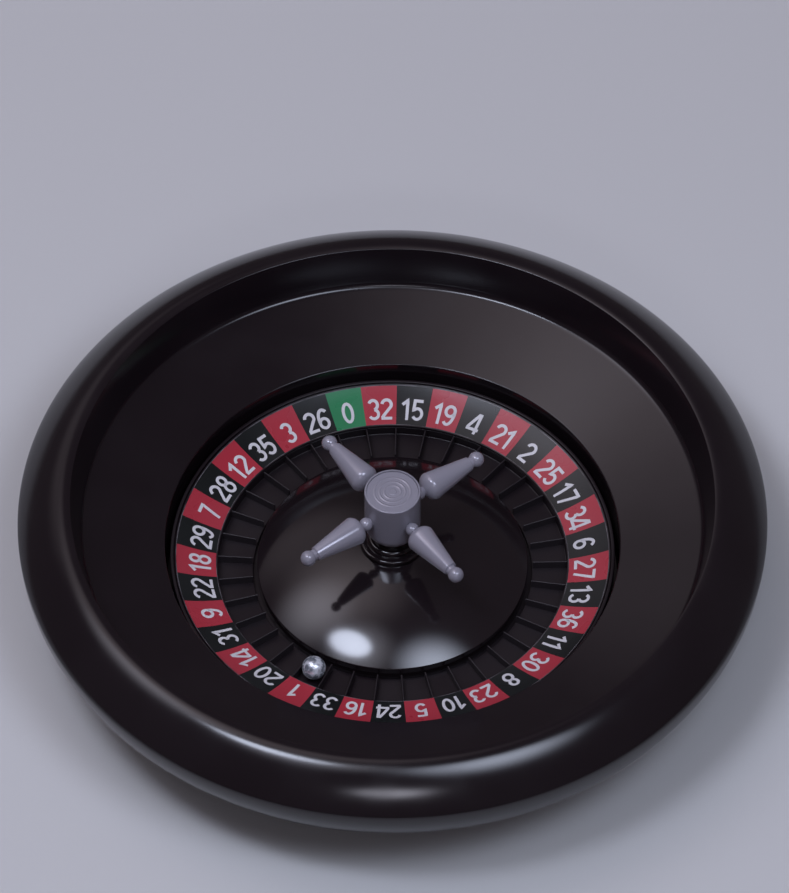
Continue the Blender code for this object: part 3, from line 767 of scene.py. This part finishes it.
def makeBase():
    look = baseLook
    cover = measure("base_cover")
    edge = look["coverEdge"]
    corners = [(0, cover.high), (cover.outer, cover.high, edge)]
    corners += [(cover.outer, cover.low, edge), (0, cover.low)]
    outline = rounded(corners, closed=False)
    named = ("basePlain", "black_plain", "bowl", "base_cover")
    addTurned("baseCover", outline, look["coverSides"], *named, closed=False)

    low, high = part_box("base_screw_1")
    ring = middleOf("base_screw_1").xy.length
    screws = setRound(baseScrewMesh(low.z, high.z), look["screwCount"], ring, 0.0, 0.0, "plainSteel")
    names = numbered("base_screw", look["screwCount"])
    addPiece("baseScrews", screws, None, "steel", "bowl", *names)

    peg, pegEdge = cover.high, look["pegEdge"]
    foot = [(0, peg), (look["footPeg"], peg, pegEdge), (look["footPeg"], look["footHeight"])]
    foot += [(look["footRadius"], look["footHeight"], pegEdge)]
    foot += [(look["footRadius"], 0, look["footEdge"]), (0, 0)]
    shape = turnedMesh("foot", rounded(foot, closed=False), look["footSides"], closed=False)
    ring = middleOf("foot_1").xy.length
    feet = setRound(shape, look["footCount"], ring, 0.0, look["footTurn"], "footRubber")
    addPiece("rubberFeet", feet, None, "rubber", "bowl", *numbered("foot", look["footCount"]))


# Rotor pan: only its lip shows, beside the number ring.
panLook = {
    "thickness": 1.5 * mm,
    "sleeveWall": 2.2 * mm,
    "hatRadius": 12.0 * mm,
    "bushFlange": 1.1 * mm,
    "sides": 256,
    "lipEdge": 0.35 * mm,
    "outerEdge": 0.4 * mm,
    "bandThickness": 0.8 * mm,
    "gap": 0.3 * mm,
}


def makePan():
    look = panLook
    pan = measure("rotor_pan")
    pockets = measure("pocket_ring")
    band = measure("number_ring")
    thickness, gap = look["thickness"], look["gap"]
    sleeveRadius = pan.inner + look["sleeveWall"]
    sleeveTop = measure("bearing_bush").high
    hatBottom = measure("bearing_bush").low + look["bushFlange"]
    top = pan.low + thickness
    wallInner = pockets.outer + gap
    lipInner = band.outer + gap
    slope = (band.high - band.low - look["bandThickness"]) / (band.outer - band.inner)

    def shelf(radius):
        return band.low + (radius - band.inner) * slope - gap

    corners = [(pan.inner, sleeveTop), (sleeveRadius, sleeveTop), (sleeveRadius, hatBottom + thickness)]
    corners += [(look["hatRadius"], hatBottom + thickness), (look["hatRadius"], top), (wallInner, top)]
    corners += [(wallInner, shelf(wallInner)), (lipInner, shelf(lipInner))]
    corners += [(lipInner, pan.high, look["lipEdge"]), (pan.outer, pan.high, look["lipEdge"])]
    corners += [(pan.outer, shelf(lipInner) - thickness, look["outerEdge"])]
    corners += [(wallInner + thickness, shelf(wallInner) - thickness), (wallInner + thickness, pan.low)]
    corners += [(look["hatRadius"] - thickness, pan.low), (look["hatRadius"] - thickness, hatBottom)]
    outline = rounded(corners + [(pan.inner, hatBottom)])
    addTurned("rotorPan", outline, look["sides"], "rotorBlack", "black_gloss", "rotor", "rotor_pan")


# Pocket ring: a moulded trough with 37 thin frets.
pocketLook = {
    "sides": 256,
    "fretSteps": 8,
    "fretGap": 0.3 * mm,
    "count": 37,
    "firstFret": math.radians(108.3),
    "floorThickness": 1.0 * mm,
    "wall": 0.8 * mm,
    "fretThickness": 0.5 * mm,
    "floorRound": 0.35 * mm,
    "wallEdge": 0.2 * mm,
}


def fretMesh(length, thickness, height):
    # one upright blade along X from the origin, with its top edge rounded
    half = thickness / 2
    top = arcPoints((0, height - half), (half, half), math.pi, 0, pocketLook["fretSteps"])
    section = [(-half, 0)] + top + [(half, 0)]
    shape = bmesh.new()
    ends = [[shape.verts.new((x, y, z)) for y, z in section] for x in (0, length)]
    for k in range(len(section)):
        after = (k + 1) % len(section)
        shape.faces.new([ends[0][k], ends[0][after], ends[1][after], ends[1][k]])
    shape.faces.new(ends[0])
    shape.faces.new(ends[1])
    bmesh.ops.recalc_face_normals(shape, faces=shape.faces)
    return finishMesh(shape, "fret")


def makePockets():
    look = pocketLook
    ring = measure("pocket_ring")
    floorTop = ring.low + look["floorThickness"]
    wallInner = ring.outer - look["wall"]
    edge = look["wallEdge"]
    corners = [(wallInner, ring.high, edge), (ring.outer, ring.high, edge)]
    corners += [(ring.outer, ring.low), (ring.inner, ring.low), (ring.inner, floorTop, edge)]
    corners += [(wallInner, floorTop, look["floorRound"])]
    named = ("rotorBlack", "black_gloss", "rotor", "pocket_ring")
    addTurned("pocketRing", rounded(corners), look["sides"], *named)

    start = ring.inner + look["fretGap"]
    root = ring.low + look["floorThickness"] / 2
    fret = fretMesh(wallInner + look["wall"] / 2 - start, look["fretThickness"], ring.high - root)
    # the frets take the lightened black: painted light on their shaded sides
    frets = setRound(fret, look["count"], start, root, look["firstFret"], "fretBlackPaintedLight")
    addPiece("pocketFrets", frets, None, "black_gloss", "rotor")


# Number ring: a conical band, printed with 37 sectors and their numbers.
ringLook = {
    "order": (
        0, 32, 15, 19, 4, 21, 2, 25, 17, 34, 6, 27, 13, 36, 11, 30, 8, 23, 10,
        5, 24, 16, 33, 1, 20, 14, 31, 9, 22, 18, 29, 7, 28, 12, 35, 3, 26,
    ),
    "thickness": 0.8 * mm,
    "hollowShare": 0.4,  # how much steeper than a cone the band is at its outer edge
    "sectorSteps": 7,
    "sectorRows": 8,
    "sharpTurn": 30,
    "printMargin": 0.35 * mm,
    "innerLine": 0.16 * mm,
    "outerLine": 0.22 * mm,
    "digitHeight": 7.4 * mm,
    "digitStart": 2.2 * mm,  # from the band's inner edge to the digits' feet
    "inkLift": 0.02 * mm,
}


def bandHeight(band, radius):
    rise = band.high - band.low - ringLook["thickness"]
    share = (radius - band.inner) / (band.outer - band.inner)
    hollow = ringLook["hollowShare"] * share * (1 - share)
    return band.low + ringLook["thickness"] + rise * (share - hollow)


def makeNumberRing():
    look = ringLook
    band = measure("number_ring")
    count = len(look["order"])
    pitch = math.tau / count
    first = pocketLook["firstFret"]
    margin = look["printMargin"]
    radii = [band.inner, band.inner + margin, band.inner + margin + look["innerLine"]]
    radii += [band.outer - margin - look["outerLine"], band.outer - margin, band.outer]
    # the top is cut into rings: bare edge, pale line of painted highlight, sectors, pale line of painted
    # highlight, bare edge
    rows = look["sectorRows"]
    between = [radii[2] + (radii[3] - radii[2]) * k / rows for k in range(1, rows)]
    outline = [(r, bandHeight(band, r)) for r in sorted(radii + between)]
    outline += [(r, bandHeight(band, r) - look["thickness"]) for r in (band.outer, band.inner)]
    sides = count * look["sectorSteps"]
    mesh = turnedMesh("numberRing", outline, sides, sharpTurn=look["sharpTurn"])
    mesh.transform(Matrix.Rotation(first, 4, "Z"))
    for name in ("rotorBlack", "edgeHighlightGrey", "inkRed", "inkBlack", "inkGreen"):
        mesh.materials.append(materials[name])
    for face in mesh.polygons:
        middle = face.center
        radius = middle.xy.length
        if middle.z < bandHeight(band, radius) - look["thickness"] / 4:
            continue
        # the pale lines at both edges get the grey of the painted highlight
        if radii[1] < radius < radii[2] or radii[3] < radius < radii[4]:
            face.material_index = 1
        elif radii[2] < radius < radii[3]:
            turn = (first - math.atan2(middle.y, middle.x)) % math.tau
            sector = int(turn / pitch)
            face.material_index = 4 if sector == 0 else 2 if sector % 2 else 3
    addPiece("numberRing", mesh, None, "ring_print", "rotor", "number_ring")

    numerals = bmesh.new()
    for sector, number in enumerate(look["order"]):
        turn = first - (sector + 0.5) * pitch
        addNumeral(numerals, number, turn, band)
    bmesh.ops.recalc_face_normals(numerals, faces=numerals.faces)
    mesh = finishMesh(numerals, "numerals", look["sharpTurn"])
    addPiece("numerals", mesh, "inkWhite", "ring_print", "rotor")


def ovalPath(centre, radii, start=0, end=360, steps=18):
    return arcPoints(centre, radii, math.radians(start), math.radians(end), steps)


# Plain figures, as strokes in shares of their height; each stroke is a list of corners or of points on ovals.
figureLook = {
    "stroke": 0.138,
    "advance": 0.60,
    "narrowAdvances": {"1": 0.46},
    "leastCosine": 0.6,
    "step": 0.09,  # the longest straight step along a stroke, so that it follows the hollow band
}
digitPaths = {
    "0": [ovalPath((0, 0.5), (0.205, 0.43))],
    "1": [[(-0.17, 0.72), (0.0, 0.86), (0.06, 0.93), (0.06, 0.0)]],
    "2": [ovalPath((0, 0.71), (0.205, 0.22), 170, -28) + [(-0.20, 0.14), (-0.20, 0.07), (0.25, 0.07)]],
    "3": [ovalPath((0, 0.715), (0.19, 0.215), 155, -80), ovalPath((0, 0.285), (0.21, 0.215), 80, -155)],
    "4": [[(0.14, 0.0), (0.14, 0.92), (0.07, 0.92), (-0.26, 0.29), (-0.26, 0.22), (0.28, 0.22)]],
    "5": [[(0.21, 0.93), (-0.15, 0.93), (-0.18, 0.50)] + ovalPath((0, 0.325), (0.21, 0.255), 130, -150)],
    "6": [ovalPath((0, 0.30), (0.205, 0.23)), ovalPath((0.04, 0.42), (0.245, 0.51), 185, 50)],
    "7": [[(-0.22, 0.93), (0.20, 0.93), (0.20, 0.86), (-0.06, 0.0)]],
    "8": [ovalPath((0, 0.72), (0.175, 0.21)), ovalPath((0, 0.28), (0.205, 0.23))],
    "9": [ovalPath((0, 0.70), (0.205, 0.23)), ovalPath((-0.04, 0.58), (0.245, 0.51), 5, -130)],
}


def strokeSides(path):
    # the points along a stroke, with the unit step to its left side there
    step = figureLook["step"]
    closed = (Vector(path[0]) - Vector(path[-1])).length < step / 10
    points = []
    for start, end in zip(path, path[1:]):
        steps = math.ceil((Vector(end) - Vector(start)).length / step)
        points += [Vector(start).lerp(Vector(end), k / steps) for k in range(steps)]
    if not closed:
        points.append(Vector(path[-1]))
    sides = []
    count = len(points)
    for k, point in enumerate(points):
        before = points[k - 1] if k or closed else point
        after = points[(k + 1) % count] if k < count - 1 or closed else point
        ways = [way.normalized() for way in (point - before, after - point) if way.length > 0]
        along = sum(ways, Vector((0, 0))).normalized()
        side = Vector((-along.y, along.x))
        sides.append((point, side / max(along.dot(ways[0]), figureLook["leastCosine"])))
    return sides, closed


def addStroke(numerals, path, shift, turn, band):
    # a thin stroke of ink, wrapped on the band with the figure's top outwards
    size, foot = ringLook["digitHeight"], band.inner + ringLook["digitStart"]
    sides, closed = strokeSides(path)
    rings = []
    for point, side in sides:
        ring = []
        for way, lift in ((1, 1), (-1, 1), (-1, -1), (1, -1)):
            spot = point + side * way * figureLook["stroke"] / 2
            radius = foot + spot.y * size
            angle = turn - (shift + spot.x) * size / (foot + size / 2)
            height = bandHeight(band, radius) + lift * ringLook["inkLift"]
            ring.append(numerals.verts.new((radius * math.cos(angle), radius * math.sin(angle), height)))
        rings.append(ring)
    followers = rings[1:] + rings[:1] if closed else rings[1:]
    for ring, follower in zip(rings, followers):
        for k in range(4):
            after = (k + 1) % 4
            numerals.faces.new([ring[k], ring[after], follower[after], follower[k]])
    if not closed:
        numerals.faces.new(rings[0])
        numerals.faces.new(rings[-1])


def addNumeral(numerals, number, turn, band):
    figures = str(number)
    advances = [figureLook["narrowAdvances"].get(figure, figureLook["advance"]) for figure in figures]
    left = -sum(advances) / 2
    for figure, advance in zip(figures, advances):
        for path in digitPaths[figure]:
            addStroke(numerals, path, left + advance / 2, turn, band)
        left += advance


# Dome: the rotor's glossy cover.
domeLook = {
    "wall": 1.8 * mm,
    "sphereRadius": 89.5 * mm,
    "edgeRound": 0.35 * mm,
    "sides": 320,
    "steps": 48,
    "sharpTurn": 40,
}


def domeSurface(radius):
    # the height of the dome's outer side at this radius
    dome = measure("centre_dome")
    sphere = domeLook["sphereRadius"]
    return dome.high - math.sqrt(sphere**2 - dome.inner ** 2) + math.sqrt(sphere**2 - radius**2)


def makeDome():
    look = domeLook
    dome = measure("centre_dome")
    sphere = look["sphereRadius"]
    hole, rim = (math.acos(radius / sphere) for radius in (dome.inner, dome.outer))
    crown = arcPoints((0, domeSurface(0) - sphere), (sphere, sphere), hole, rim, look["steps"])
    corners = crown[:-1] + [(*crown[-1], look["edgeRound"]), (dome.outer, dome.low)]
    outline = rounded(corners, closed=False)
    outline += reversed(offsetOutline(outline, look["wall"]))
    named = ("domeBlack", "black_gloss", "rotor", "centre_dome")
    addTurned("centreDome", outline, look["sides"], *named, sharpTurn=look["sharpTurn"])


# Turret: the stepped collar, the hub, its cap and the four spokes.
turretLook = {
    "sides": 160,
    "swellSteps": 20,
    "capSteps": 4,
    "spokeCount": 4,
    "spokeSides": 64,
    "spokeSharpTurn": 32,
    "tipSteps": 20,
    "coneSteps": 16,
    "beadSteps": 16,
    "buttonRound": 0.15 * mm,
    "ridgeFoot": 0.1 * mm,
    "ridgeRound": 0.2 * mm,
    "gap": 0.3 * mm,
    "flangeRise": 0.9 * mm,
    "stepRadius": 8.6 * mm,
    "stepRise": 2.7 * mm,
    "neckRadius": 6.6 * mm,
    "stepRound": 1.3 * mm,
    "flangeRound": 0.85 * mm,
    "collarInset": 0.1 * mm,
    "hubBase": 5.4 * mm,
    "swellHeight": 5.5 * mm,
    "hubEdge": 0.4 * mm,
    "hubRim": 0.7 * mm,
    "recessDepth": 1.9 * mm,
    "headPocket": 4.2 * mm,
    "headPocketDepth": 4.5 * mm,
    "capThickness": 1.2 * mm,
    "capPlay": 0.05 * mm,
    "ridgeHeight": 0.16 * mm,
    "ridgeWidth": 0.9 * mm,
    "ridgeShares": (0.70, 0.50, 0.32),  # of the cap's radius
    "buttonRadius": 1.2 * mm,
    "spokeRise": 12.0 * mm,
    "stubRadius": 1.6 * mm,
    "stubLength": 4.2 * mm,
    "beadRadius": 2.3 * mm,
    "beadStand": 1.6 * mm,
    "coneNeck": 0.2 * mm,
    "coneDome": 3.4 * mm,
    "coneBig": 4.95 * mm,
    "coneLength": 15.8 * mm,
    "coneSmall": 2.45 * mm,
    "tipStep": 0.3 * mm,
    "tipNeck": 1.9 * mm,
    "tipNeckLength": 0.95 * mm,
    "tipRadius": 2.65 * mm,
}


def makeCollar():
    look = turretLook
    collar = measure("turret_collar")
    base = domeSurface(0) + look["gap"]
    flangeTop, stepTop = base + look["flangeRise"], base + look["stepRise"]
    inset = look["collarInset"]
    corners = [(collar.inner, collar.high), (look["neckRadius"], collar.high, inset)]
    corners += [(look["neckRadius"], stepTop, inset), (look["stepRadius"], stepTop, look["stepRound"])]
    corners += [(look["stepRadius"], flangeTop, inset), (collar.outer, flangeTop, look["flangeRound"])]
    corners += [(collar.outer, domeSurface(collar.outer) + look["gap"])]
    corners += [(look["neckRadius"], domeSurface(look["neckRadius"]) + look["gap"]), (collar.inner, base)]
    named = ("domeBlack", "black_gloss", "rotor", "turret_collar")
    addTurned("turretCollar", rounded(corners), look["sides"], *named)


def makeHub():
    look = turretLook
    hub = measure("turret_hub")
    radius = hub.outer
    top, bottom = hub.high, hub.low
    swellTop = bottom + look["swellHeight"]
    swellHandle = (radius, swellTop - look["swellHeight"] / 2)
    baseHandle = ((look["hubBase"] + radius) / 2, bottom)
    recess = radius - look["hubRim"]
    recessFloor = top - look["recessDepth"]
    pocketFloor = recessFloor - look["headPocketDepth"]
    outline = rounded([(recess, top), (radius, top, look["hubEdge"]), (radius, swellTop)], closed=False)[:-1]
    swell = ((radius, swellTop), swellHandle, baseHandle, (look["hubBase"], bottom))
    outline += bendPoints(*swell, look["swellSteps"])
    outline += [(hub.inner, bottom), (hub.inner, pocketFloor), (look["headPocket"], pocketFloor)]
    outline += [(look["headPocket"], recessFloor), (recess, recessFloor)]
    addTurned("turretHub", outline, look["sides"], "turretSilver", "silver_plastic", "rotor", "turret_hub")


def makeCap():
    look = turretLook
    cap = measure("hub_cap")
    outer = measure("turret_hub").outer - look["hubRim"] - look["capPlay"]
    top = cap.low + look["capThickness"]
    raised = top + look["ridgeHeight"]
    foot = look["ridgeFoot"]
    corners = [(0, raised), (look["buttonRadius"], raised, look["buttonRound"])]
    corners += [(look["buttonRadius"] + look["ridgeHeight"], top, foot)]
    half = look["ridgeWidth"] / 2
    for share in reversed(look["ridgeShares"]):
        middle = outer * share
        corners += [(middle - half, top, foot), (middle, raised, look["ridgeRound"])]
        corners += [(middle + half, top, foot)]
    corners += [(outer, top, look["buttonRound"]), (outer, cap.low), (0, cap.low)]
    outline = rounded(corners, closed=False, steps=look["capSteps"])
    named = ("turretSilver", "silver_plastic", "rotor", "hub_cap")
    addTurned("hubCap", outline, look["sides"], *named, closed=False)


def makeSpokes():
    look = turretLook
    hub = measure("turret_hub")
    height = hub.low + look["spokeRise"]
    stubEnd = hub.outer - look["stubLength"] + look["gap"]
    beadLow = hub.outer + look["gap"]
    beadReach = hub.outer + look["beadStand"]
    beadEnd = math.asin(look["stubRadius"] / look["beadRadius"])
    beadStart = math.acos((beadReach - beadLow) / look["beadRadius"])
    domeTurn = math.asin(look["stubRadius"] / look["coneBig"])
    coneLow = beadReach + look["beadRadius"] * math.cos(beadEnd) + look["coneNeck"]
    coneStart = coneLow + look["coneDome"] * math.cos(domeTurn)
    coneEnd = coneStart + look["coneLength"]
    tipTurn = math.asin(look["tipNeck"] / look["tipRadius"])
    tipReach = coneEnd + look["tipStep"] + look["tipNeckLength"] + look["tipRadius"] * math.cos(tipTurn)
    tipRadii, beadRadii = [look["tipRadius"]] * 2, [look["beadRadius"]] * 2
    outline = [(0, tipReach + look["tipRadius"])]
    outline += arcPoints((0, tipReach), tipRadii, quarter, tipTurn - quarter, look["tipSteps"])[1:]
    outline += [(look["tipNeck"], coneEnd + look["tipStep"]), (look["coneSmall"], coneEnd)]
    coneRadii = (look["coneBig"], look["coneDome"])
    outline += arcPoints((0, coneStart), coneRadii, 0, domeTurn - quarter, look["coneSteps"])
    beadTurns = (quarter - beadEnd, beadStart - quarter)
    outline += arcPoints((0, beadReach), beadRadii, *beadTurns, look["beadSteps"])
    outline += [(look["stubRadius"], beadLow), (look["stubRadius"], stubEnd), (0, stubEnd)]
    options = {"closed": False, "sharpTurn": look["spokeSharpTurn"]}
    spoke = turnedMesh("spoke", outline, look["spokeSides"], **options)
    spoke.transform(Matrix.Rotation(quarter, 4, "Y"))
    first = middleOf("spoke_1")
    count = look["spokeCount"]
    spokes = setRound(spoke, count, 0.0, height, math.atan2(first.y, first.x), "turretSilver")
    addPiece("turretSpokes", spokes, None, "silver_plastic", "rotor", *numbered("spoke", count))


ballLook = {"subdivisions": 5, "sharpTurn": 180}


def makeBall():
    low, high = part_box("ball")
    shape = bmesh.new()
    place = Matrix.Translation((low + high) / 2)
    size = {"subdivisions": ballLook["subdivisions"], "radius": (high.z - low.z) / 2}
    bmesh.ops.create_icosphere(shape, matrix=place, **size)
    mesh = finishMesh(shape, "steelBall", ballLook["sharpTurn"])
    # the ball's colour carries a painted reflection
    addPiece("steelBall", mesh, "ballSteelPaintedReflection", "polished_steel", "ball", "ball")


# Hidden parts keep their nodes and get their finishes.
hiddenParts = {
    "plainSteel": [
        "spindle", "retaining_washer", "spindle_screw", "turret_screw", "turret_nut",
        *numbered("dome_screw", 3),
    ],
    "whiteNylon": ["thrust_washer"],
    "turnedBrass": ["bearing_bush"],
}


def paintHiddenParts():
    for finish, nodes in hiddenParts.items():
        for node in nodes:
            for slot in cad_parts[node].material_slots:
                slot.material = materials[finish]


addCamera()
addLamps()
addFloor()
print("camera, lamps and floor are in")

groups = {"mould": makeMouldGroup(), "handling": makeHandlingGroup()}
materials = {}
for name, look in plastics.items():
    materials[name] = makePlastic(name, plasticFinish | look, groups)
for looks, finish in ((inks, inkFinish), (metals, metalFinish)):
    for name, look in looks.items():
        materials[name] = makeInkOrMetal(name, finish | look, groups)
print("materials made:", len(materials))

trees = {"turn": makeTurnTree(), "ring": makeRingTree()}
stages = {
    "bowl and base made": (makeBowl, makeBase),
    "rotor made": (makePan, makePockets, makeNumberRing, makeDome),
    "turret and ball made": (makeCollar, makeHub, makeCap, makeSpokes, makeBall, paintHiddenParts),
}
for stage, makers in stages.items():
    for make in makers:
        make()
    print(stage)
